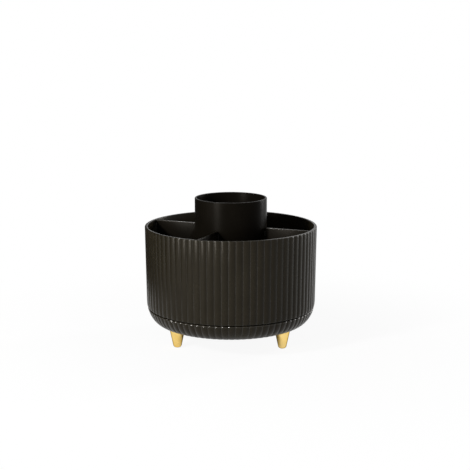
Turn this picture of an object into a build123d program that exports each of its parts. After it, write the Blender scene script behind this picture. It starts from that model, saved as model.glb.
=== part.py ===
from build123d import *

import os
from math import cos, degrees, radians, sin, sqrt

# Rotating makeup organizer, in millimetres.
# A fluted drum turns on a shallow fluted dish, which stands on three tapered metal feet. A tall
# tube stands in the middle of the drum, and four dividers part the space around it. Under the
# drum a ring of rollers carries the weight, and a shoulder screw keeps the drum on its centre.
# The origin is on the turning axis, on the surface that the feet stand on. The front is -Y.

# Heights, from the feet up
foot_height = 18.5
bowl_height = 15.4
seam_gap = 0.9
drum_height = 75.6
tube_rise = 25.8

# Outer form, measured over the ribs
rim_radius = 80.0
wall_flare = 0.9
corner_width = 14.8
corner_height = 22.6
corner_steps = 4
least_step = 1.5
rib_count = 78
rib_depth = 0.65
rib_crest = 2.2
first_rib_angle = -89.0

# Walls and floors
drum_wall = 1.7
drum_floor = 2.5
skirt_width = 3.6
skirt_height = 1.2
bowl_wall = 2.2
bowl_floor = 2.5
bowl_step_height = 5.0

# Centre tube and the lugs that centre it
tube_radius = 33.5
tube_wall = 1.8
tube_bevel = 0.4
lug_width = 14.0
lug_thickness = 1.6
lug_height = 5.0

# Dividers and the guides that hold their edges
divider_names = ["divider_right", "divider_back", "divider_left", "divider_front"]
first_divider_angle = -22.0
divider_thickness = 1.5
divider_drop = 0.4
divider_corner = 1.5
guide_width = 1.2
guide_depth = 1.5
guide_drop = 3.0
guide_root = 0.5

# Feet, their screws and washers
foot_count = 3
first_foot_angle = 88.0
foot_circle_radius = 56.0
foot_top_radius = 7.4
foot_tip_radius = 3.5
foot_tip_bevel = 1.6
foot_screw_radius = 1.5
foot_screw_reach = 7.0
foot_hole_spare = 1.0
foot_head_radius = 3.0
foot_head_height = 2.0
foot_washer_radius = 3.9
foot_washer_thickness = 0.8

# Roller ring
roller_names = ["roller_1", "roller_2", "roller_3", "roller_4", "roller_5", "roller_6"]
first_roller_angle = 0.0
roller_circle_radius = 39.0
roller_radius = 4.0
roller_length = 5.0
ring_width = 11.0
ring_thickness = 3.0
track_width = 8.0

# Centre pivot
pivot_radius = 3.0
thread_radius = 2.0
thread_length = 5.4
pivot_head_radius = 5.0
pivot_head_height = 3.0
socket_sides = 6
socket_radius = 2.3
socket_depth = 1.8
pivot_washer_radius = 7.5
pivot_washer_thickness = 1.0
bush_wall = 1.2
insert_wall = 1.3
hub_radius = 8.0
hub_length = 4.6
boss_radius = 12.0
well_radius = 9.0
cap_thickness = 1.0

# Clearances
running_gap = 0.1
seat_gap = 0.2
bore_gap = 0.05
press_gap = 0.02
cap_gap = 0.3
hub_gap = 0.4

# Levels and radii that follow from the sizes
bowl_top = foot_height + bowl_height
drum_bottom = bowl_top + seam_gap
rim_level = drum_bottom + drum_height
tube_top = rim_level + tube_rise
corner_top = foot_height + corner_height
corner_radius = rim_radius - wall_flare
flat_radius = corner_radius - corner_width
floor_under = drum_bottom + skirt_height
floor_top = floor_under + drum_floor
cavity_radius = corner_radius - drum_wall
bowl_floor_top = foot_height + bowl_floor
bowl_step_top = bowl_floor_top + bowl_step_height
tube_bore_radius = tube_radius - tube_wall
divider_top = rim_level - divider_drop
guide_top = divider_top - guide_drop
guide_offset = divider_thickness / 2 + running_gap + guide_width / 2
guide_length = guide_depth + guide_root
guide_middle = guide_depth - guide_length / 2
foot_washer_top = bowl_floor_top + foot_washer_thickness
roller_level = floor_under - running_gap - roller_radius
track_level = roller_level - roller_radius - running_gap
hub_bottom = floor_under - hub_length
boss_top = hub_bottom - hub_gap
pivot_head_bottom = foot_height + cap_thickness + cap_gap
pivot_head_top = pivot_head_bottom + pivot_head_height
well_top = pivot_head_top + pivot_washer_thickness + running_gap
bush_bore_radius = pivot_radius + bore_gap
bush_radius = bush_bore_radius + bush_wall
insert_bore_radius = thread_radius + bore_gap
insert_radius = insert_bore_radius + insert_wall


def outer_radius(height):
    """Radius over the ribs: a rounded lower corner, then a wall that widens a little to the rim."""
    if height < corner_top:
        rise = (height - foot_height) / corner_height
        return flat_radius + corner_width * sqrt(rise * (2 - rise))
    rise = (height - corner_top) / (rim_level - corner_top)
    return corner_radius + wall_flare * rise


def section_heights(bottom, top):
    """Heights of the ribbed sections between two levels, closer together where the corner bends."""
    turns = [radians(90 * step / corner_steps) for step in range(corner_steps + 1)]
    bends = [corner_top - corner_height * cos(turn) for turn in turns]
    between = [bend for bend in bends if bottom + least_step < bend < top - least_step]
    return [bottom] + between + [top]


def polar(radius, angle):
    """Point at a radius, and at an angle in degrees from +X."""
    return (radius * cos(radians(angle)), radius * sin(radians(angle)))


def keep(part, name):
    """Names a finished piece and writes it to its own file."""
    part.label = name
    export_step(part, f"parts/{name}.step")


os.makedirs("parts", exist_ok=True)

# Ribbed outline
# Each rib has a narrow crest between two sloping sides, and neighbouring ribs meet in a valley. The
# outline is drawn once, at the size of the rim, and every lower section is this outline made smaller.
half_pitch = 180 / rib_count
half_crest = degrees(rib_crest / 2 / rim_radius)
valley_radius = rim_radius - rib_depth
with BuildLine() as rib:
    Polyline(
        polar(valley_radius, -half_pitch),
        polar(rim_radius, -half_crest),
        polar(rim_radius, half_crest),
        polar(valley_radius, half_pitch),
    )
with BuildSketch() as ribbed:
    with BuildLine():
        with PolarLocations(0, rib_count, start_angle=first_rib_angle):
            add(rib.line)
    make_face()

# Base bowl
# A shallow fluted dish. It holds the roller track, a hole for the screw of each foot, and the centre
# boss with the well that takes the head of the pivot screw.
with BuildPart() as base_bowl:
    for height in section_heights(foot_height, bowl_top):
        with BuildSketch(Plane.XY.offset(height)):
            add(ribbed.sketch)
            scale(by=outer_radius(height) / rim_radius)
    loft(ruled=True)
    with BuildSketch(Plane.XY.offset(bowl_step_top)):
        Circle(outer_radius(bowl_step_top) - rib_depth - bowl_wall)
    extrude(amount=bowl_top - bowl_step_top, mode=Mode.SUBTRACT)
    with BuildSketch(Plane.XY.offset(bowl_floor_top)):
        Circle(outer_radius(bowl_floor_top) - rib_depth - bowl_wall)
    extrude(amount=bowl_step_height, mode=Mode.SUBTRACT)
    with BuildSketch(Plane.XY.offset(bowl_floor_top)):
        Circle(roller_circle_radius + track_width / 2)
        Circle(roller_circle_radius - track_width / 2, mode=Mode.SUBTRACT)
    extrude(amount=track_level - bowl_floor_top)
    with BuildSketch(Plane.XY.offset(foot_height)):
        with PolarLocations(foot_circle_radius, foot_count, start_angle=first_foot_angle):
            Circle(foot_screw_radius + running_gap)
    extrude(amount=bowl_floor, mode=Mode.SUBTRACT)
    with BuildSketch(Plane.XY.offset(bowl_floor_top)):
        Circle(boss_radius)
    extrude(amount=boss_top - bowl_floor_top)
    with BuildSketch(Plane.XY.offset(foot_height)):
        Circle(well_radius)
    extrude(amount=well_top - foot_height, mode=Mode.SUBTRACT)
    with BuildSketch(Plane.XY.offset(well_top)):
        Circle(bush_radius + press_gap)
    extrude(amount=boss_top - well_top, mode=Mode.SUBTRACT)
keep(base_bowl.part, "base_bowl")

# Feet
# Tapered metal cones with a bevelled tip, each with a blind hole for its screw.
foot_slope = (foot_top_radius - foot_tip_radius) / foot_height
with BuildPart() as feet:
    for number in range(foot_count):
        x, y = polar(foot_circle_radius, first_foot_angle + number * 360 / foot_count)
        with BuildSketch(Plane(origin=(x, y, 0), x_dir=(1, 0, 0), z_dir=(0, -1, 0))):
            with BuildLine():
                Polyline(
                    (0, 0),
                    (foot_tip_radius - foot_tip_bevel, 0),
                    (foot_tip_radius + foot_slope * foot_tip_bevel, foot_tip_bevel),
                    (foot_top_radius, foot_height),
                    (0, foot_height),
                    close=True,
                )
            make_face()
        revolve(axis=Axis((x, y, 0), (0, 0, 1)))
    with BuildSketch(Plane.XY.offset(foot_height)):
        with PolarLocations(foot_circle_radius, foot_count, start_angle=first_foot_angle):
            Circle(foot_screw_radius + bore_gap)
    extrude(amount=-foot_screw_reach - foot_hole_spare, mode=Mode.SUBTRACT)
keep(feet.part, "feet")

# Foot screws
# One pan-head screw for each foot, from inside the bowl.
with BuildPart() as foot_screws:
    with BuildSketch(Plane.XY.offset(foot_height - foot_screw_reach)):
        with PolarLocations(foot_circle_radius, foot_count, start_angle=first_foot_angle):
            Circle(foot_screw_radius)
    extrude(amount=foot_washer_top - foot_height + foot_screw_reach)
    with BuildSketch(Plane.XY.offset(foot_washer_top)):
        with PolarLocations(foot_circle_radius, foot_count, start_angle=first_foot_angle):
            Circle(foot_head_radius)
    extrude(amount=foot_head_height)
keep(foot_screws.part, "foot_screws")

# Foot washers
with BuildPart() as foot_washers:
    with BuildSketch(Plane.XY.offset(bowl_floor_top)):
        with PolarLocations(foot_circle_radius, foot_count, start_angle=first_foot_angle):
            Circle(foot_washer_radius)
            Circle(foot_screw_radius + running_gap, mode=Mode.SUBTRACT)
    extrude(amount=foot_washer_thickness)
keep(foot_washers.part, "foot_washers")

# Pivot bush
# A plain sleeve, pressed into the centre boss, in which the shoulder of the pivot screw turns.
with BuildPart() as pivot_bush:
    with BuildSketch(Plane.XY.offset(well_top)):
        Circle(bush_radius)
        Circle(bush_bore_radius, mode=Mode.SUBTRACT)
    extrude(amount=boss_top - well_top)
keep(pivot_bush.part, "pivot_bush")

# Base cap
# A round plate, pushed into the well from below, that covers the head of the pivot screw.
with BuildPart() as base_cap:
    with BuildSketch(Plane.XY.offset(foot_height)):
        Circle(well_radius - bore_gap)
    extrude(amount=cap_thickness)
keep(base_cap.part, "base_cap")

# Roller ring
# A flat ring with one pocket for each roller. It follows the drum at half the drum's speed.
with BuildPart() as roller_ring:
    with BuildSketch(Plane.XY.offset(roller_level - ring_thickness / 2)):
        Circle(roller_circle_radius + ring_width / 2)
        Circle(roller_circle_radius - ring_width / 2, mode=Mode.SUBTRACT)
        with PolarLocations(roller_circle_radius, len(roller_names), start_angle=first_roller_angle):
            Rectangle(roller_length + 2 * seat_gap, 2 * (roller_radius + seat_gap), mode=Mode.SUBTRACT)
    extrude(amount=ring_thickness)
keep(roller_ring.part, "roller_ring")

# Rollers
# Plain cylinders that lie along the radius, between the bowl's track and the drum's floor.
for number, name in enumerate(roller_names):
    angle = first_roller_angle + number * 360 / len(roller_names)
    x, y = polar(roller_circle_radius, angle)
    outward = polar(1, angle)
    with BuildPart() as roller:
        with BuildSketch(Plane(origin=(x, y, roller_level), z_dir=(*outward, 0))):
            Circle(roller_radius)
        extrude(amount=roller_length / 2, both=True)
    keep(roller.part, name)

# Fluted drum
# The ribs run from the rim down the wall and into the rounded corner. Inside, a pair of guides
# holds the edge of each divider and four lugs centre the tube. Below the floor are a skirt at the
# edge and the hub that the pivot screw holds.
with BuildPart() as fluted_drum:
    for height in section_heights(drum_bottom, rim_level):
        with BuildSketch(Plane.XY.offset(height)):
            add(ribbed.sketch)
            scale(by=outer_radius(height) / rim_radius)
    loft(ruled=True)
    with BuildSketch(Plane.XY.offset(floor_top)):
        Circle(cavity_radius)
    extrude(amount=rim_level - floor_top, mode=Mode.SUBTRACT)
    with BuildSketch(Plane.XY.offset(drum_bottom)):
        Circle(outer_radius(drum_bottom) - skirt_width)
    extrude(amount=skirt_height, mode=Mode.SUBTRACT)
    with BuildSketch(Plane.XY.offset(hub_bottom)):
        Circle(hub_radius)
    extrude(amount=hub_length)
    with BuildSketch(Plane.XY.offset(hub_bottom)):
        Circle(insert_radius + press_gap)
    extrude(amount=thread_length + seat_gap, mode=Mode.SUBTRACT)
    with BuildSketch(Plane.XY.offset(floor_top)):
        with PolarLocations(cavity_radius, len(divider_names), start_angle=first_divider_angle):
            with Locations((-guide_middle, guide_offset), (-guide_middle, -guide_offset)):
                Rectangle(guide_length, guide_width)
    extrude(amount=guide_top - floor_top)
    with BuildSketch(Plane.XY.offset(floor_top)):
        Rectangle(2 * tube_radius, lug_width, rotation=first_divider_angle)
        Rectangle(lug_width, 2 * tube_radius, rotation=first_divider_angle)
        Circle(tube_bore_radius - bore_gap, mode=Mode.INTERSECT)
        Circle(tube_bore_radius - bore_gap - lug_thickness, mode=Mode.SUBTRACT)
    extrude(amount=lug_height)
keep(fluted_drum.part, "fluted_drum")

# Centre tube
# A plain open tube that stands on the drum's floor and rises above the rim.
with BuildPart() as centre_tube:
    with BuildSketch(Plane.XY.offset(floor_top)):
        Circle(tube_radius)
        Circle(tube_bore_radius, mode=Mode.SUBTRACT)
    extrude(amount=tube_top - floor_top)
    chamfer(centre_tube.edges().group_by(Axis.Z)[-1], tube_bevel)
    with BuildSketch(Plane.XY.offset(floor_top)):
        with PolarLocations(tube_radius, len(divider_names), start_angle=first_divider_angle):
            with Locations((guide_middle, guide_offset), (guide_middle, -guide_offset)):
                Rectangle(guide_length, guide_width)
    extrude(amount=guide_top - floor_top)
keep(centre_tube.part, "centre_tube")

# Dividers
# Upright plates between the tube and the wall, with their top edge just below the rim.
divider_inner = tube_radius + seat_gap
divider_outer = cavity_radius - seat_gap
for number, name in enumerate(divider_names):
    angle = first_divider_angle + number * 360 / len(divider_names)
    outward = polar(1, angle)
    sideways = polar(1, angle - 90)
    with BuildPart() as divider:
        with BuildSketch(Plane(origin=(0, 0, 0), x_dir=(*outward, 0), z_dir=(*sideways, 0))) as plate:
            with Locations(((divider_inner + divider_outer) / 2, (floor_top + divider_top) / 2)):
                Rectangle(divider_outer - divider_inner, divider_top - floor_top)
            fillet(plate.vertices().group_by(Axis.Y)[-1], divider_corner)
        extrude(amount=divider_thickness / 2, both=True)
    keep(divider.part, name)

# Threaded insert
# A metal sleeve in the hub, for the thread of the pivot screw.
with BuildPart() as threaded_insert:
    with BuildSketch(Plane.XY.offset(hub_bottom)):
        Circle(insert_radius)
        Circle(insert_bore_radius, mode=Mode.SUBTRACT)
    extrude(amount=thread_length)
keep(threaded_insert.part, "threaded_insert")

# Pivot washer
with BuildPart() as pivot_washer:
    with BuildSketch(Plane.XY.offset(pivot_head_top)):
        Circle(pivot_washer_radius)
        Circle(pivot_radius + running_gap, mode=Mode.SUBTRACT)
    extrude(amount=pivot_washer_thickness)
keep(pivot_washer.part, "pivot_washer")

# Pivot screw
# A shoulder screw: its shoulder stops against the hub, so the bowl stays free to turn on it.
with BuildPart() as pivot_screw:
    with BuildSketch(Plane.XY.offset(pivot_head_bottom)):
        Circle(pivot_head_radius)
        RegularPolygon(socket_radius, socket_sides, mode=Mode.SUBTRACT)
    extrude(amount=socket_depth)
    with BuildSketch(Plane.XY.offset(pivot_head_bottom + socket_depth)):
        Circle(pivot_head_radius)
    extrude(amount=pivot_head_height - socket_depth)
    with BuildSketch(Plane.XY.offset(pivot_head_top)):
        Circle(pivot_radius)
    extrude(amount=hub_bottom - pivot_head_top)
    with BuildSketch(Plane.XY.offset(hub_bottom)):
        Circle(thread_radius)
    extrude(amount=thread_length)
keep(pivot_screw.part, "pivot_screw")
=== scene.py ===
# Rotating makeup organizer, in metres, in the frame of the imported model: the turning axis is Z, the
# feet stand on Z = 0 and the front faces -Y.
import math

import bmesh
import bpy
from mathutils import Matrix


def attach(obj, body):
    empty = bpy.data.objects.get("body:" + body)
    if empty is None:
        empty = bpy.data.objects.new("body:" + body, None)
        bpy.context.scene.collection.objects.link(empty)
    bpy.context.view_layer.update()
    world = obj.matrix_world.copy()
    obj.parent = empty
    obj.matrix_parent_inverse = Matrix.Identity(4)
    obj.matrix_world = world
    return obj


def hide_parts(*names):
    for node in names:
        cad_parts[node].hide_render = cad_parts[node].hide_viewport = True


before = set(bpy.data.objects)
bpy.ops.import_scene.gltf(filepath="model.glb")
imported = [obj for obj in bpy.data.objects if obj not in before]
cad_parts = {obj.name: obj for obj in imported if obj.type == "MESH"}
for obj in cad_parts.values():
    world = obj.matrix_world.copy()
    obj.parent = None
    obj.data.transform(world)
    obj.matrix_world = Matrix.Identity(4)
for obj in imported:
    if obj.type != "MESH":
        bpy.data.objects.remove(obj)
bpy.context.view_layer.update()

# ---- Base bowl ----
# The shallow fluted dish that stays still. It is moulded in black plastic with a satin finish, and
# carries the roller track, the centre boss and the screw holes of the feet.
rib_count = 78
rib_columns = 8
first_rib_angle = math.radians(-89)
rim_radius = 0.080
rib_sinks = {1: 0.00002, 2: 0.00013, 3: 0.00038, 4: 0.00072}
corner_top = 0.0411
corner_height = 0.0226
corner_inner_radius = 0.0643
corner_width = 0.0148
same_point = 0.000002
same_height = 0.00001
same_radius = 0.0007
smooth_angle = math.radians(35)


def choose(fits):
    """Selects the vertices whose place fits, with the edges and faces between them."""
    bpy.ops.mesh.select_mode(type="VERT")
    bpy.ops.mesh.select_all(action="DESELECT")
    shell = bmesh.from_edit_mesh(bpy.context.object.data)
    for vertex in shell.verts:
        vertex.select_set(fits(vertex.co))
    shell.select_flush(True)
    bmesh.update_edit_mesh(bpy.context.object.data)


def turn_shape(name, section, columns, start_angle=0.0):
    """Pulls one ring of edges along a section of (radius, height) corners, as on a lathe. A section
    is closed where it meets the axis, and joined up where it ends at its first corner."""
    bpy.ops.object.select_all(action="DESELECT")
    starts_on_axis = section[0][0] == 0
    corners = section[1:] if starts_on_axis else section
    radius, height = corners[0]
    bpy.ops.mesh.primitive_circle_add(
        vertices=columns,
        radius=radius,
        fill_type="TRIFAN" if starts_on_axis else "NOTHING",
        location=(0, 0, height),
        rotation=(0, 0, start_angle - math.pi / 2),
    )
    bpy.ops.object.transform_apply()
    shape = bpy.context.object
    shape.name = name
    shape.data.name = name
    bpy.ops.object.mode_set(mode="EDIT")
    choose(lambda place: place.xy.length > radius / 2)
    for next_radius, next_height in corners[1:]:
        lift = (0, 0, next_height - height)
        bpy.ops.mesh.extrude_region_move(TRANSFORM_OT_translate={"value": lift})
        if next_radius == 0:
            bpy.ops.mesh.merge(type="CENTER")
            break
        growth = next_radius / radius
        bpy.ops.transform.resize(value=(growth, growth, 1), center_override=(0, 0, next_height))
        radius, height = next_radius, next_height
    bpy.ops.mesh.select_all(action="SELECT")
    bpy.ops.mesh.remove_doubles(threshold=same_point)
    bpy.ops.mesh.normals_make_consistent(inside=False)
    return shape


def round_ring(radius, height, width, steps=3):
    """Rounds the ring of edges at that radius and height."""

    def on_ring(place):
        is_level = abs(place.z - height) < same_height
        return is_level and abs(place.xy.length - radius) < same_radius

    choose(on_ring)
    bpy.ops.mesh.bevel(offset=width, segments=steps, affect="EDGES")


def press_flutes(is_outside):
    """Presses the flutes into the outside, one column of each rib at a time, crest to valley."""
    for column, sink in rib_sinks.items():

        def in_column(place):
            turns = (math.atan2(place.y, place.x) - first_rib_angle) / (2 * math.pi / rib_count)
            nearest = round(turns % 1 * rib_columns)
            return is_outside(place) and nearest in (column, rib_columns - column)

        choose(in_column)
        growth = 1 - sink / rim_radius
        bpy.ops.transform.resize(value=(growth, growth, 1), center_override=(0, 0, 0))


def corner_point(height):
    """The rounded lower corner, which the bowl and the drum share: its point at a height."""
    turn = math.acos(min(1, (corner_top - height) / corner_height))
    return (corner_inner_radius + corner_width * math.sin(turn), height)


def cut_out(piece, cutter):
    """Cuts the shape of the cutter out of a piece and takes the cutter away."""
    cut = piece.modifiers.new("Cut", "BOOLEAN")
    cut.object = cutter
    bpy.context.view_layer.objects.active = piece
    bpy.ops.object.modifier_apply(modifier=cut.name)
    bpy.data.objects.remove(cutter)


def fit_piece(piece, material, body, stands_for):
    """Leaves edit mode, shades the piece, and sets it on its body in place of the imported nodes."""
    if bpy.context.mode != "OBJECT":
        bpy.ops.object.mode_set(mode="OBJECT")
    piece.data.materials.clear()
    piece.data.materials.append(material)
    bpy.ops.object.select_all(action="DESELECT")
    piece.select_set(True)
    bpy.context.view_layer.objects.active = piece
    bpy.ops.object.shade_smooth_by_angle(angle=smooth_angle)
    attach(piece, body)
    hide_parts(*stands_for)


def new_group(name, inputs, outputs):
    """An empty shader node group with its named inputs and outputs."""
    group = bpy.data.node_groups.new(name, "ShaderNodeTree")
    for label, value in inputs.items():
        socket = group.interface.new_socket(
            name=label, in_out="INPUT", socket_type="NodeSocketFloat"
        )
        socket.default_value = value
    for label in outputs:
        group.interface.new_socket(name=label, in_out="OUTPUT", socket_type="NodeSocketFloat")
    return group, group.nodes.new("NodeGroupInput"), group.nodes.new("NodeGroupOutput")


def new_noise(nodes, detail):
    """A noise of so many finer layers."""
    noise = nodes.new("ShaderNodeTexNoise")
    noise.inputs["Detail"].default_value = detail
    return noise


def new_range(nodes, start, end, first=0, last=1):
    """A Map Range node that takes start to first and end to last."""
    ranged = nodes.new("ShaderNodeMapRange")
    ranged.inputs["From Min"].default_value = start
    ranged.inputs["From Max"].default_value = end
    ranged.inputs["To Min"].default_value = first
    ranged.inputs["To Max"].default_value = last
    return ranged


def new_maths(nodes, operation):
    """A Math node for one operation."""
    maths = nodes.new("ShaderNodeMath")
    maths.operation = operation
    return maths


# The grain that a spark-eroded mould leaves in the plastic, and the slow clouding of its colour.
moulded_grain, grain_in, grain_out = new_group(
    "Moulded grain", {"Grains a metre": 2600, "Clouds a metre": 40}, ["Height", "Cloud"]
)
grain_place = moulded_grain.nodes.new("ShaderNodeTexCoord")
for output, scale, detail in (("Height", "Grains a metre", 2), ("Cloud", "Clouds a metre", 4)):
    noise = new_noise(moulded_grain.nodes, detail)
    moulded_grain.links.new(grain_place.outputs["Object"], noise.inputs["Vector"])
    moulded_grain.links.new(grain_in.outputs[scale], noise.inputs["Scale"])
    moulded_grain.links.new(noise.outputs[0], grain_out.inputs[output])

# Edges and crests that hands and cloths have rubbed: where a rounded normal leaves the true one.
edge_rub, rub_in, rub_out = new_group("Edge rub", {"Width": 0.0006, "Amount": 1}, ["Rubbed"])
rub_round = edge_rub.nodes.new("ShaderNodeBevel")
rub_true = edge_rub.nodes.new("ShaderNodeNewGeometry")
rub_turn = edge_rub.nodes.new("ShaderNodeVectorMath")
rub_turn.operation = "DOT_PRODUCT"
rub_range = new_range(edge_rub.nodes, start=1, end=0.86)
rub_place = edge_rub.nodes.new("ShaderNodeTexCoord")
rub_patches = new_noise(edge_rub.nodes, 5)
rub_patches.inputs["Scale"].default_value = 90
rub_share = new_maths(edge_rub.nodes, "MULTIPLY")
rub_amount = new_maths(edge_rub.nodes, "MULTIPLY")
edge_rub.links.new(rub_in.outputs["Width"], rub_round.inputs["Radius"])
edge_rub.links.new(rub_round.outputs["Normal"], rub_turn.inputs[0])
edge_rub.links.new(rub_true.outputs["Normal"], rub_turn.inputs[1])
edge_rub.links.new(rub_turn.outputs["Value"], rub_range.inputs["Value"])
edge_rub.links.new(rub_place.outputs["Object"], rub_patches.inputs["Vector"])
edge_rub.links.new(rub_range.outputs["Result"], rub_share.inputs[0])
edge_rub.links.new(rub_patches.outputs[0], rub_share.inputs[1])
edge_rub.links.new(rub_share.outputs["Value"], rub_amount.inputs[0])
edge_rub.links.new(rub_in.outputs["Amount"], rub_amount.inputs[1])
edge_rub.links.new(rub_amount.outputs["Value"], rub_out.inputs["Rubbed"])

# A Mix node has sockets of the same name for numbers and for colours, so they are taken by place.
share_in, number_a, number_b, colour_a, colour_b = 0, 2, 3, 6, 7
number_out, colour_out = 0, 2
# Painted light: a warm tint on the plastics' reflections, standing in for warm light around the
# object.
painted_warm_tint = (1, 0.93, 0.82, 1)
gloss_spread = 0.07


def two_tones(nodes, start, end, deep, pale):
    """A colour ramp that goes from the deep tone to the pale one."""
    ramp = nodes.new("ShaderNodeValToRGB")
    for stop, position, tone in zip(ramp.color_ramp.elements, (start, end), (deep, pale)):
        stop.position = position
        stop.color = (*tone, 1)
    return ramp


def rubbed_mix(nodes, rubbed):
    """A Mix node for colours, whose second colour is the rubbed one."""
    colour = nodes.new("ShaderNodeMix")
    colour.data_type = "RGBA"
    colour.inputs[colour_b].default_value = (*rubbed, 1)
    return colour


def new_bump(nodes, strength, depth):
    """A Bump node of that strength and depth."""
    bump = nodes.new("ShaderNodeBump")
    bump.inputs["Strength"].default_value = strength
    bump.inputs["Distance"].default_value = depth
    return bump


def moulded_plastic(name, deep, pale, rubbed, dull, bright, shine, polished, grain=0.00002):
    """A moulded plastic: clouded between two colours, grained, and smoother where it is rubbed."""
    material = bpy.data.materials.new(name)
    material.use_nodes = True
    nodes = material.node_tree.nodes
    links = material.node_tree.links
    shader = nodes["Principled BSDF"]
    shader.inputs["Specular IOR Level"].default_value = shine
    # The reflections take the painted warm tint.
    shader.inputs["Specular Tint"].default_value = painted_warm_tint
    shader.inputs["Coat Roughness"].default_value = 0.20
    shader.inputs["Coat IOR"].default_value = 1.8
    grained = nodes.new("ShaderNodeGroup")
    grained.node_tree = moulded_grain
    rub = nodes.new("ShaderNodeGroup")
    rub.node_tree = edge_rub
    clouds = two_tones(nodes, start=0.3, end=0.7, deep=deep, pale=pale)
    colour = rubbed_mix(nodes, rubbed)
    gloss = new_range(nodes, start=0.3, end=0.7, first=dull, last=dull - gloss_spread)
    finish = nodes.new("ShaderNodeMix")
    finish.inputs[number_b].default_value = bright
    polish = new_maths(nodes, "MULTIPLY")
    polish.inputs[1].default_value = polished
    bump = new_bump(nodes, strength=0.5, depth=grain)
    links.new(grained.outputs["Cloud"], clouds.inputs["Fac"])
    links.new(clouds.outputs["Color"], colour.inputs[colour_a])
    links.new(rub.outputs["Rubbed"], colour.inputs[share_in])
    links.new(colour.outputs[colour_out], shader.inputs["Base Color"])
    links.new(grained.outputs["Cloud"], gloss.inputs["Value"])
    links.new(gloss.outputs["Result"], finish.inputs[number_a])
    links.new(rub.outputs["Rubbed"], finish.inputs[share_in])
    links.new(finish.outputs[number_out], shader.inputs["Roughness"])
    links.new(rub.outputs["Rubbed"], polish.inputs[0])
    links.new(polish.outputs["Value"], shader.inputs["Coat Weight"])
    links.new(grained.outputs["Height"], bump.inputs["Height"])
    links.new(bump.outputs["Normal"], shader.inputs["Normal"])
    return material


body_plastic = moulded_plastic(
    "Satin black plastic",
    deep=(0.0081, 0.0065, 0.0036),
    pale=(0.0117, 0.0095, 0.0056),
    rubbed=(0.027, 0.024, 0.019),
    dull=0.32,
    bright=0.20,
    shine=0.13,
    polished=1.6,
)
bowl_lip = 0.0339
bowl_lip_radius = 0.0777
bowl_ledge = 0.0260
bowl_ledge_radius = 0.07246
bowl_inner_radius = 0.06822
bowl_floor = 0.0210
bowl_underside = 0.0185
flutes_end_radius = 0.0622
fluted_skin = 0.0008
track_top = 0.0278
track_inner_radius = 0.0350
track_outer_radius = 0.0430
boss_top = 0.0310
boss_radius = 0.0120
bush_hole_radius = 0.00427
cap_well_top = 0.0239
cap_well_radius = 0.0090
corner_heights = [0.0330, 0.0314, 0.0297, 0.0278, 0.0258, 0.0240, 0.0224, 0.0210, 0.0198, 0.0190]
bowl_shell = turn_shape(
    "bowl_shell",
    [
        (bush_hole_radius, boss_top),
        (boss_radius, boss_top),
        (boss_radius, bowl_floor),
        (track_inner_radius, bowl_floor),
        (track_inner_radius, track_top),
        (track_outer_radius, track_top),
        (track_outer_radius, bowl_floor),
        (bowl_inner_radius, bowl_floor),
        (bowl_inner_radius, bowl_ledge),
        (bowl_ledge_radius, bowl_ledge),
        (bowl_ledge_radius, bowl_lip),
        (bowl_lip_radius, bowl_lip),
        *[corner_point(height) for height in corner_heights],
        (corner_inner_radius, bowl_underside),
        (flutes_end_radius, bowl_underside),
        (cap_well_radius, bowl_underside),
        (cap_well_radius, cap_well_top),
        (bush_hole_radius, cap_well_top),
        (bush_hole_radius, boss_top),
    ],
    columns=rib_count * rib_columns,
    start_angle=first_rib_angle,
)
press_flutes(lambda place: place.xy.length > corner_point(place.z)[0] - fluted_skin)
round_ring(bowl_lip_radius, bowl_lip, width=0.0004)
round_ring(bowl_ledge_radius, bowl_lip, width=0.0004)
round_ring(track_outer_radius, track_top, width=0.0004)
round_ring(track_inner_radius, track_top, width=0.0004)
round_ring(boss_radius, boss_top, width=0.0005)
round_ring(boss_radius, bowl_floor, width=0.0012)
bpy.ops.object.mode_set(mode="OBJECT")
foot_circle_radius = 0.056
foot_angles = [math.radians(88 + 120 * number) for number in range(3)]
foot_places = [
    (foot_circle_radius * math.cos(angle), foot_circle_radius * math.sin(angle), 0)
    for angle in foot_angles
]
screw_hole_radius = 0.0016
screw_hole_middle = 0.0195
for x, y, _ in foot_places:
    bpy.ops.mesh.primitive_cylinder_add(
        vertices=24, radius=screw_hole_radius, depth=0.006, location=(x, y, screw_hole_middle)
    )
    cut_out(bowl_shell, bpy.context.object)
fit_piece(bowl_shell, body_plastic, "stand", ["base_bowl"])

# ---- Feet ----
# Three tapered feet, cast in zinc, polished and plated with a pale gold. Each has a rounded tip and
# a blind hole for the screw that holds it to the bowl.
turning_marks, marks_in, marks_out = new_group(
    "Turning marks", {"Marks a metre": 1500, "Stains a metre": 120}, ["Height", "Stain"]
)
marks_place = turning_marks.nodes.new("ShaderNodeTexCoord")
marks_stretch = turning_marks.nodes.new("ShaderNodeMapping")
marks_stretch.inputs["Scale"].default_value = (0.04, 0.04, 1)
marks_lines = new_noise(turning_marks.nodes, 3)
marks_stains = new_noise(turning_marks.nodes, 5)
turning_marks.links.new(marks_place.outputs["Object"], marks_stretch.inputs["Vector"])
turning_marks.links.new(marks_stretch.outputs["Vector"], marks_lines.inputs["Vector"])
turning_marks.links.new(marks_in.outputs["Marks a metre"], marks_lines.inputs["Scale"])
turning_marks.links.new(marks_place.outputs["Object"], marks_stains.inputs["Vector"])
turning_marks.links.new(marks_in.outputs["Stains a metre"], marks_stains.inputs["Scale"])
turning_marks.links.new(marks_lines.outputs[0], marks_out.inputs["Height"])
turning_marks.links.new(marks_stains.outputs[0], marks_out.inputs["Stain"])


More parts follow.
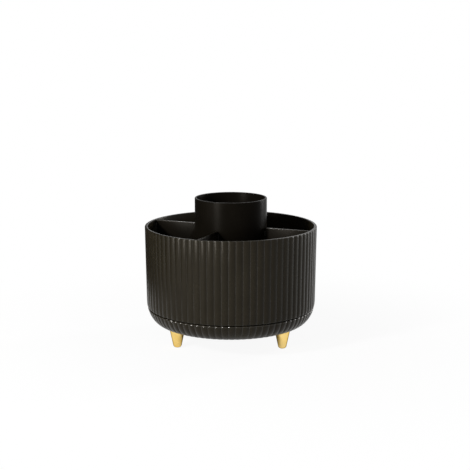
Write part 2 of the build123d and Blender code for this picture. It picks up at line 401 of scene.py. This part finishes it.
def turned_metal(name, deep, pale, rubbed, smooth, dull, depth, glancing=(1, 1, 1)):
    """A turned or plated metal: faint rings, stains that dull it, and edges rubbed to a paler tone.
    Its reflections at a glancing angle can take a darker tone, which is painted shade."""
    material = bpy.data.materials.new(name)
    material.use_nodes = True
    nodes = material.node_tree.nodes
    links = material.node_tree.links
    shader = nodes["Principled BSDF"]
    shader.inputs["Metallic"].default_value = 1
    shader.inputs["Specular Tint"].default_value = (*glancing, 1)
    marks = nodes.new("ShaderNodeGroup")
    marks.node_tree = turning_marks
    rub = nodes.new("ShaderNodeGroup")
    rub.node_tree = edge_rub
    stains = two_tones(nodes, start=0.35, end=0.65, deep=deep, pale=pale)
    colour = rubbed_mix(nodes, rubbed)
    gloss = new_range(nodes, start=0.35, end=0.65, first=smooth, last=dull)
    bump = new_bump(nodes, strength=0.4, depth=depth)
    links.new(marks.outputs["Stain"], stains.inputs["Fac"])
    links.new(stains.outputs["Color"], colour.inputs[colour_a])
    links.new(rub.outputs["Rubbed"], colour.inputs[share_in])
    links.new(colour.outputs[colour_out], shader.inputs["Base Color"])
    links.new(marks.outputs["Stain"], gloss.inputs["Value"])
    links.new(gloss.outputs["Result"], shader.inputs["Roughness"])
    links.new(marks.outputs["Height"], bump.inputs["Height"])
    links.new(bump.outputs["Normal"], shader.inputs["Normal"])
    return material


gold_metal = turned_metal(
    "Pale gold plating",
    deep=(0.85, 0.58, 0.17),
    pale=(0.92, 0.68, 0.26),
    rubbed=(0.96, 0.80, 0.46),
    smooth=0.08,
    dull=0.16,
    depth=0.000006,
    # Painted shade: the feet's reflections darken towards their glancing edges.
    glancing=(0.10, 0.07, 0.02),
)
foot_top = bowl_underside
foot_top_radius = 0.0074
foot_tip_radius = 0.0035
foot_hole_radius = 0.00155
foot_hole_end = 0.0105
foot_blank = turn_shape(
    "foot",
    [
        (0, 0),
        (foot_tip_radius, 0),
        (foot_top_radius, foot_top),
        (foot_hole_radius, foot_top),
        (foot_hole_radius, foot_hole_end),
        (0, foot_hole_end),
    ],
    columns=64,
)
round_ring(foot_tip_radius, 0, width=0.0020, steps=6)
round_ring(foot_top_radius, foot_top, width=0.0003)
bpy.ops.object.mode_set(mode="OBJECT")


def set_out(shape, name, places, turns):
    """Copies a shape, modelled on the axis, to each place and turn, and takes the first away."""
    copies = []
    for number, (place, turn) in enumerate(zip(places, turns), start=1):
        bpy.ops.object.select_all(action="DESELECT")
        shape.select_set(True)
        bpy.context.view_layer.objects.active = shape
        bpy.ops.object.duplicate()
        copy = bpy.context.object
        copy.name = f"{name}_{number}"
        copy.data.name = copy.name
        copy.location = place
        copy.rotation_euler = turn
        bpy.ops.object.transform_apply()
        copies.append(copy)
    bpy.data.objects.remove(shape)
    return copies


foot_turns = [(0, 0, angle) for angle in foot_angles]
for foot in set_out(foot_blank, "foot", foot_places, foot_turns):
    fit_piece(foot, gold_metal, "stand", ["feet"])

# ---- Foot screws and washers ----
# Zinc-plated steel screws with pan heads and cross recesses, driven into the feet from inside the
# bowl. Each head presses on a plain washer with its edges broken.
zinc_steel = turned_metal(
    "Zinc-plated steel",
    deep=(0.36, 0.37, 0.39),
    pale=(0.58, 0.59, 0.60),
    rubbed=(0.75, 0.75, 0.76),
    smooth=0.28,
    dull=0.42,
    depth=0.00001,
)


def bar(size, place, angle, rounding):
    """A bar with rounded edges, turned to an angle about the axis."""
    bpy.ops.object.select_all(action="DESELECT")
    bpy.ops.mesh.primitive_cube_add(size=1, location=place, scale=size)
    bpy.ops.object.transform_apply()
    bpy.ops.object.mode_set(mode="EDIT")
    bpy.ops.mesh.bevel(offset=rounding, segments=2, affect="EDGES")
    bpy.ops.object.mode_set(mode="OBJECT")
    bpy.context.object.rotation_euler = (0, 0, angle)
    bpy.ops.object.transform_apply()
    return bpy.context.object


def thread(crest, root, start, end, pitch):
    """The section of a thread, drawn as rings from one height to another."""
    turns = int((end - start) / pitch)
    return [
        (crest if step % 2 == 0 else root, start + pitch * step / 2)
        for step in range(2 * turns + 1)
    ]


washer_top = 0.0218
screw_radius = 0.0015
screw_tip = 0.0115
screw_head_radius = 0.0030
screw_head_top = 0.0238
foot_screw = turn_shape(
    "foot_screw",
    [
        (0, screw_tip),
        (0.0009, screw_tip),
        *thread(crest=screw_radius, root=0.0012, start=0.0122, end=0.0206, pitch=0.0007),
        (screw_radius, washer_top),
        (screw_head_radius, washer_top),
        (screw_head_radius, 0.0227),
        (0.0028, 0.0232),
        (0.0022, 0.0236),
        (0.0012, screw_head_top),
        (0, screw_head_top),
    ],
    columns=32,
)
bpy.ops.object.mode_set(mode="OBJECT")
recess_size = (0.0030, 0.0007, 0.0020)
recess_middle = (0, 0, 0.0239)
for angle in (0, math.pi / 2):
    cut_out(foot_screw, bar(recess_size, recess_middle, angle, rounding=0.0001))
for screw in set_out(foot_screw, "foot_screw", foot_places, foot_turns):
    fit_piece(screw, zinc_steel, "stand", ["foot_screws"])


def washer(name, bore, radius, bottom, top):
    """A flat ring with its outer edges broken."""
    shape = turn_shape(
        name,
        [(bore, bottom), (radius, bottom), (radius, top), (bore, top), (bore, bottom)],
        columns=48,
    )
    round_ring(radius, bottom, width=0.0001, steps=2)
    round_ring(radius, top, width=0.0002, steps=2)
    bpy.ops.object.mode_set(mode="OBJECT")
    return shape


foot_washer = washer(
    "foot_washer", bore=screw_hole_radius, radius=0.0039, bottom=bowl_floor, top=washer_top
)
for ring in set_out(foot_washer, "foot_washer", foot_places, foot_turns):
    fit_piece(ring, zinc_steel, "stand", ["foot_washers"])

# ---- Pivot bush, roller ring and rollers ----
# Turned and moulded in natural white bearing plastic, which is hard and a little waxy. The bush is
# pressed into the boss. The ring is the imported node, and carries six rollers with dished ends.
bearing_plastic = moulded_plastic(
    "Natural bearing plastic",
    deep=(0.66, 0.64, 0.57),
    pale=(0.76, 0.74, 0.68),
    rubbed=(0.80, 0.79, 0.75),
    dull=0.50,
    bright=0.34,
    shine=0.5,
    polished=0.3,
)
bush_sleeve = washer(
    "bush_sleeve", bore=0.00305, radius=0.00425, bottom=cap_well_top, top=boss_top
)
fit_piece(bush_sleeve, bearing_plastic, "stand", ["pivot_bush"])
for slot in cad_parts["roller_ring"].material_slots:
    slot.material = bearing_plastic
roller_radius = 0.0040
roller_end = 0.0025
dish_end = 0.0021
roller_circle_radius = 0.039
roller_height = 0.0319
bearing_roller = turn_shape(
    "bearing_roller",
    [
        (0, -dish_end),
        (0.0018, -dish_end),
        (0.0021, -roller_end),
        (roller_radius, -roller_end),
        (roller_radius, roller_end),
        (0.0021, roller_end),
        (0.0018, dish_end),
        (0, dish_end),
    ],
    columns=64,
)
round_ring(roller_radius, -roller_end, width=0.0004)
round_ring(roller_radius, roller_end, width=0.0004)
bpy.ops.object.mode_set(mode="OBJECT")
roller_angles = [math.radians(60 * number) for number in range(6)]
roller_places = [
    (roller_circle_radius * math.cos(angle), roller_circle_radius * math.sin(angle), roller_height)
    for angle in roller_angles
]
roller_turns = [(0, math.pi / 2, angle) for angle in roller_angles]
rollers = set_out(bearing_roller, "bearing_roller", roller_places, roller_turns)
for number, roller in enumerate(rollers, start=1):
    node = f"roller_{number}"
    fit_piece(roller, bearing_plastic, node, [node])

# ---- Fluted drum ----
# The turning body, moulded in one piece from the same black plastic. Its ribs run from the rim down
# into the rounded corner. Inside, pairs of guides hold the dividers and four lugs centre the tube.
drum_lip = 0.0348
drum_rim = 0.1104
drum_floor = 0.0385
drum_underside = 0.0360
skirt_inner_radius = 0.07491
cavity_radius = 0.0774
drum_skin_radius = 0.0776
hub_bottom = 0.0314
hub_radius = 0.0080
insert_hole_radius = 0.00337
insert_hole_end = 0.0370
drum_corner_heights = [drum_lip, 0.0360, 0.0372, 0.0386, corner_top]
drum_shell = turn_shape(
    "drum_shell",
    [
        (0, insert_hole_end),
        (insert_hole_radius, insert_hole_end),
        (insert_hole_radius, hub_bottom),
        (hub_radius, hub_bottom),
        (hub_radius, drum_underside),
        (skirt_inner_radius, drum_underside),
        (skirt_inner_radius, drum_lip),
        *[corner_point(height) for height in drum_corner_heights],
        (0.0794, 0.0650),
        (0.0797, 0.0877),
        (rim_radius, drum_rim),
        (cavity_radius, drum_rim),
        (cavity_radius, drum_floor),
        (0, drum_floor),
    ],
    columns=rib_count * rib_columns,
    start_angle=first_rib_angle,
)
press_flutes(lambda place: place.xy.length > drum_skin_radius)
round_ring(rim_radius, drum_rim, width=0.0008)
round_ring(cavity_radius, drum_rim, width=0.0005)
round_ring(cavity_radius, drum_floor, width=0.0015, steps=4)
round_ring(corner_point(drum_lip)[0], drum_lip, width=0.0004)
bpy.ops.object.mode_set(mode="OBJECT")


def join_to(piece, added):
    """Joins the added shapes to a piece."""
    bpy.ops.object.select_all(action="DESELECT")
    for shape in added:
        shape.select_set(True)
    piece.select_set(True)
    bpy.context.view_layer.objects.active = piece
    bpy.ops.object.join()


divider_names = ["right", "back", "left", "front"]
divider_angles = [math.radians(-22 + 90 * number) for number in range(4)]
guide_size = (0.0020, 0.0012, 0.0685)
guide_offset = 0.00145
guide_middle = 0.07275


def guide_pairs(radius):
    """Upright guides at a radius, one at each side of each divider's edge."""
    return [
        bar(guide_size, (radius, side * guide_offset, guide_middle), angle, rounding=0.0003)
        for angle in divider_angles
        for side in (-1, 1)
    ]


drum_guides = guide_pairs(radius=0.0769)
lug_size = (0.0016, 0.0140, 0.0056)
lug_middle = (0.03010, 0, 0.0407)
tube_lugs = [bar(lug_size, lug_middle, angle, rounding=0.0004) for angle in divider_angles]
join_to(drum_shell, drum_guides + tube_lugs)
fit_piece(drum_shell, body_plastic, "drum", ["fluted_drum"])

# ---- Threaded insert ----
# A brass sleeve, pressed into the drum's hub while it is warm. Two knurled bands and the groove
# between them hold it there.
insert_brass = turned_metal(
    "Insert brass",
    deep=(0.50, 0.33, 0.10),
    pale=(0.66, 0.46, 0.17),
    rubbed=(0.78, 0.60, 0.28),
    smooth=0.26,
    dull=0.40,
    depth=0.00001,
)
insert_radius = 0.00335
insert_groove_radius = 0.0029
insert_bore = 0.00205
insert_top = 0.0368
insert_columns = 64
knurl_skin_radius = 0.0033
knurl_growth = 0.96
insert_sleeve = turn_shape(
    "insert_sleeve",
    [
        *thread(crest=insert_bore, root=0.00218, start=hub_bottom, end=insert_top, pitch=0.0009),
        (insert_radius, insert_top),
        (insert_radius, 0.0349),
        (insert_groove_radius, 0.0346),
        (insert_groove_radius, 0.0336),
        (insert_radius, 0.0333),
        (insert_radius, hub_bottom),
        (insert_bore, hub_bottom),
    ],
    columns=insert_columns,
)


def in_knurl_valley(place):
    """Whether a place is on the outside, in every other column."""
    column = round(math.atan2(place.y, place.x) * insert_columns / (2 * math.pi))
    return place.xy.length > knurl_skin_radius and column % 2 == 1


choose(in_knurl_valley)
bpy.ops.transform.resize(value=(knurl_growth, knurl_growth, 1), center_override=(0, 0, 0))
fit_piece(insert_sleeve, insert_brass, "drum", ["threaded_insert"])

# ---- Centre tube ----
# A tall open tube, moulded in a smoother plastic, its colour darker than the drum's as painted
# shade. It stands over the drum's lugs, and has guides outside for the inner edges of the dividers.
tube_plastic_painted_shade = moulded_plastic(
    "Smooth black plastic",
    # Painted shade: these tones are darker than the drum's, standing in for shade around the tube.
    deep=(0.0030, 0.0024, 0.0016),
    pale=(0.0050, 0.0041, 0.0029),
    rubbed=(0.020, 0.017, 0.013),
    dull=0.34,
    bright=0.24,
    shine=0.02,
    polished=0.6,
    grain=0.000008,
)
tube_radius = 0.0335
tube_bore = 0.0317
tube_top = 0.1362
tube_shell = turn_shape(
    "tube_shell",
    [
        (tube_bore, drum_floor),
        (tube_radius, drum_floor),
        (tube_radius, 0.0900),
        (tube_radius, tube_top),
        (tube_bore, tube_top),
        (tube_bore, drum_floor),
    ],
    columns=192,
)
round_ring(tube_radius, tube_top, width=0.0005)
round_ring(tube_bore, tube_top, width=0.0004)
bpy.ops.object.mode_set(mode="OBJECT")
join_to(tube_shell, guide_pairs(radius=0.0340))
fit_piece(tube_shell, tube_plastic_painted_shade, "drum", ["centre_tube"])

# ---- Dividers ----
# Four thin upright plates of the same smooth plastic, slid down between the guides. Their edges are
# broken and their top corners rounded.
divider_plastic_painted_shade = moulded_plastic(
    "Divider black plastic",
    # Painted shade: these tones are darker than the drum's, standing in for shade on the dividers.
    deep=(0.0045, 0.0037, 0.0026),
    pale=(0.0072, 0.0058, 0.0041),
    rubbed=(0.020, 0.017, 0.013),
    dull=0.34,
    bright=0.20,
    shine=0.06,
    polished=0.4,
    grain=0.00001,
)
divider_size = (0.0435, 0.0015, 0.0715)
divider_middle = (0.05545, 0, 0.07425)
divider_ends = (0.0337, 0.0772)
divider_top = 0.1100
corner_reach = 0.0001
for name, angle in zip(divider_names, divider_angles):
    bpy.ops.object.select_all(action="DESELECT")
    bpy.ops.mesh.primitive_cube_add(size=1, location=divider_middle, scale=divider_size)
    bpy.ops.object.transform_apply()
    plate = bpy.context.object
    plate.name = f"divider_plate_{name}"
    bpy.ops.object.mode_set(mode="EDIT")
    for end in divider_ends:
        choose(
            lambda place: abs(place.x - end) < corner_reach
            and place.z > divider_top - corner_reach
        )
        bpy.ops.mesh.bevel(offset=0.0015, segments=5, affect="EDGES")
    bpy.ops.object.mode_set(mode="OBJECT")
    softened = plate.modifiers.new("Broken edges", "BEVEL")
    softened.width = 0.00025
    softened.segments = 2
    softened.limit_method = "ANGLE"
    bpy.ops.object.modifier_apply(modifier=softened.name)
    plate.rotation_euler = (0, 0, angle)
    bpy.ops.object.transform_apply()
    fit_piece(plate, divider_plastic_painted_shade, "drum", [f"divider_{name}"])

# ---- Pivot washer, pivot screw and base cap ----
# A shoulder screw with a six-sided socket, and its washer, hold the drum on its centre. The cap is
# a small black moulding, pushed into the well from below, with a shallow dish in its face.
pivot_head_top = 0.0228
pivot_head_bottom = 0.0198
pivot_head_radius = 0.0050
shoulder_radius = 0.0030
socket_middle = 0.0201
pivot_ring = washer("pivot_ring", bore=0.0031, radius=0.0075, bottom=pivot_head_top, top=0.0238)
fit_piece(pivot_ring, zinc_steel, "drum", ["pivot_washer"])
shoulder_screw = turn_shape(
    "shoulder_screw",
    [
        (0, pivot_head_bottom),
        (pivot_head_radius, pivot_head_bottom),
        (pivot_head_radius, pivot_head_top),
        (shoulder_radius, pivot_head_top),
        (shoulder_radius, 0.0310),
        (0.0027, hub_bottom),
        *thread(crest=0.0020, root=0.0017, start=0.0317, end=0.0366, pitch=0.0007),
        (0.0014, insert_top),
        (0, insert_top),
    ],
    columns=64,
)
round_ring(pivot_head_radius, pivot_head_bottom, width=0.0004)
round_ring(pivot_head_radius, pivot_head_top, width=0.0002)
bpy.ops.object.mode_set(mode="OBJECT")
bpy.ops.mesh.primitive_cylinder_add(
    vertices=6, radius=0.0023, depth=0.003, location=(0, 0, socket_middle)
)
cut_out(shoulder_screw, bpy.context.object)
fit_piece(shoulder_screw, zinc_steel, "drum", ["pivot_screw"])
cap_plastic = moulded_plastic(
    "Cap black plastic",
    deep=(0.0090, 0.0076, 0.0054),
    pale=(0.0130, 0.0110, 0.0080),
    rubbed=(0.028, 0.025, 0.020),
    dull=0.48,
    bright=0.32,
    shine=0.30,
    polished=0.4,
)
cap_radius = 0.00895
cap_rim_radius = 0.0072
cap_top = 0.0195
cap_disc = turn_shape(
    "cap_disc",
    [
        (0, 0.0188),
        (0.0066, 0.0188),
        (cap_rim_radius, bowl_underside),
        (cap_radius, bowl_underside),
        (cap_radius, cap_top),
        (0, cap_top),
    ],
    columns=96,
)
round_ring(cap_radius, bowl_underside, width=0.0002)
round_ring(cap_rim_radius, bowl_underside, width=0.0002)
fit_piece(cap_disc, cap_plastic, "stand", ["base_cap"])

# ---- Studio ----
# A white floor and a white background, and a dimmer room that lights the object. A wide soft
# lamp stands low on the left, a small bright one above it, and a tall one on the right picks out
# the ribs.
white = (1, 1, 1, 1)
bpy.ops.object.select_all(action="DESELECT")
bpy.ops.mesh.primitive_plane_add(size=12, location=(0, 0, -0.0001))
floor = bpy.context.object
floor.name = "floor"
floor_white = bpy.data.materials.new("Floor white")
floor_white.use_nodes = True
floor.data.materials.append(floor_white)
nodes = floor_white.node_tree.nodes
links = floor_white.node_tree.links
nodes.clear()
floor_place = nodes.new("ShaderNodeTexCoord")
floor_distance = nodes.new("ShaderNodeVectorMath")
floor_distance.operation = "LENGTH"
# Near the object the camera sees some of its shadow, and mirrored rays see no glow under it.
floor_fade = new_range(nodes, start=0.10, end=0.35, first=0.92)
floor_far = new_range(nodes, start=0.035, end=0.075)
for fading in (floor_fade, floor_far):
    fading.interpolation_type = "SMOOTHSTEP"
floor_paths = nodes.new("ShaderNodeLightPath")
floor_mirrored = new_maths(nodes, "MAXIMUM")
floor_seen = new_maths(nodes, "MULTIPLY")
floor_share = new_maths(nodes, "MULTIPLY_ADD")
floor_matt = nodes.new("ShaderNodeBsdfDiffuse")
floor_matt.inputs["Color"].default_value = (0.86, 0.86, 0.86, 1)
floor_glow = nodes.new("ShaderNodeEmission")
floor_mix = nodes.new("ShaderNodeMixShader")
floor_out = nodes.new("ShaderNodeOutputMaterial")
links.new(floor_place.outputs["Object"], floor_distance.inputs[0])
links.new(floor_distance.outputs["Value"], floor_fade.inputs["Value"])
links.new(floor_distance.outputs["Value"], floor_far.inputs["Value"])
links.new(floor_paths.outputs["Is Glossy Ray"], floor_mirrored.inputs[0])
links.new(floor_paths.outputs["Is Transmission Ray"], floor_mirrored.inputs[1])
links.new(floor_paths.outputs["Is Camera Ray"], floor_seen.inputs[0])
links.new(floor_fade.outputs["Result"], floor_seen.inputs[1])
links.new(floor_mirrored.outputs["Value"], floor_share.inputs[0])
links.new(floor_far.outputs["Result"], floor_share.inputs[1])
links.new(floor_seen.outputs["Value"], floor_share.inputs[2])
links.new(floor_share.outputs["Value"], floor_mix.inputs[0])
links.new(floor_matt.outputs["BSDF"], floor_mix.inputs[1])
links.new(floor_glow.outputs["Emission"], floor_mix.inputs[2])
links.new(floor_mix.outputs["Shader"], floor_out.inputs["Surface"])

world = bpy.data.worlds.new("Studio")
bpy.context.scene.world = world
world.use_nodes = True
nodes = world.node_tree.nodes
links = world.node_tree.links
nodes.clear()
world_paths = nodes.new("ShaderNodeLightPath")
world_seen = new_maths(nodes, "MAXIMUM")
world_seen_through = new_maths(nodes, "MAXIMUM")
world_room = nodes.new("ShaderNodeBackground")
world_room.inputs["Color"].default_value = white
world_room.inputs["Strength"].default_value = 0.25
world_white = nodes.new("ShaderNodeBackground")
world_white.inputs["Color"].default_value = white
world_mix = nodes.new("ShaderNodeMixShader")
world_out = nodes.new("ShaderNodeOutputWorld")
links.new(world_paths.outputs["Is Camera Ray"], world_seen.inputs[0])
links.new(world_paths.outputs["Is Glossy Ray"], world_seen.inputs[1])
links.new(world_seen.outputs["Value"], world_seen_through.inputs[0])
links.new(world_paths.outputs["Is Transmission Ray"], world_seen_through.inputs[1])
links.new(world_seen_through.outputs["Value"], world_mix.inputs[0])
links.new(world_room.outputs["Background"], world_mix.inputs[1])
links.new(world_white.outputs["Background"], world_mix.inputs[2])
links.new(world_mix.outputs["Shader"], world_out.inputs["Surface"])


def soft_lamp(name, place, width, height, power, turn):
    """A rectangular soft lamp, turned towards the object. The turn is in degrees."""
    angles = [math.radians(angle) for angle in turn]
    bpy.ops.object.light_add(type="AREA", location=place, rotation=angles)
    lamp = bpy.context.object
    lamp.name = name
    lamp.data.shape = "RECTANGLE"
    lamp.data.size = width
    lamp.data.size_y = height
    lamp.data.energy = power


soft_lamp("lamp_left", (-0.82, -0.88, 0.26), width=0.30, height=0.40, power=8, turn=(81, 0, -43))
soft_lamp("lamp_top", (-0.66, -0.58, 0.53), width=0.10, height=0.12, power=8, turn=(63, 0, -49))
soft_lamp("lamp_right", (1.0, 0.55, 0.45), width=0.20, height=0.80, power=8, turn=(72, 0, 119))

# A black card at the left, hidden from the camera, from diffuse light and from shadows, paints a
# dark reflection: it keeps the floor's white off that side of the ribs.
bpy.ops.mesh.primitive_plane_add(
    size=1, location=(-0.19, 0.16, 0.20), rotation=(math.radians(90), 0, math.radians(70))
)
card = bpy.context.object
card.name = "card_left"
card.scale = (0.5, 0.4, 1)
bpy.ops.object.transform_apply()
card.visible_camera = False
card.visible_diffuse = False
card.visible_shadow = False
card_black = bpy.data.materials.new("Card black")
card_black.use_nodes = True
card_shader = card_black.node_tree.nodes["Principled BSDF"]
card_shader.inputs["Base Color"].default_value = (0.02, 0.02, 0.02, 1)
card_shader.inputs["Roughness"].default_value = 0.9
card.data.materials.append(card_black)

# The camera stands 1 m from the middle of the object and looks down on it by 11 degrees.
bpy.ops.object.camera_add(location=(0.00386, -0.9816, 0.2914), rotation=(math.radians(79), 0, 0))
camera = bpy.context.object
camera.data.lens = 82.05
camera.data.sensor_width = 36
bpy.context.scene.camera = camera
bpy.context.scene.view_settings.view_transform = "Standard"
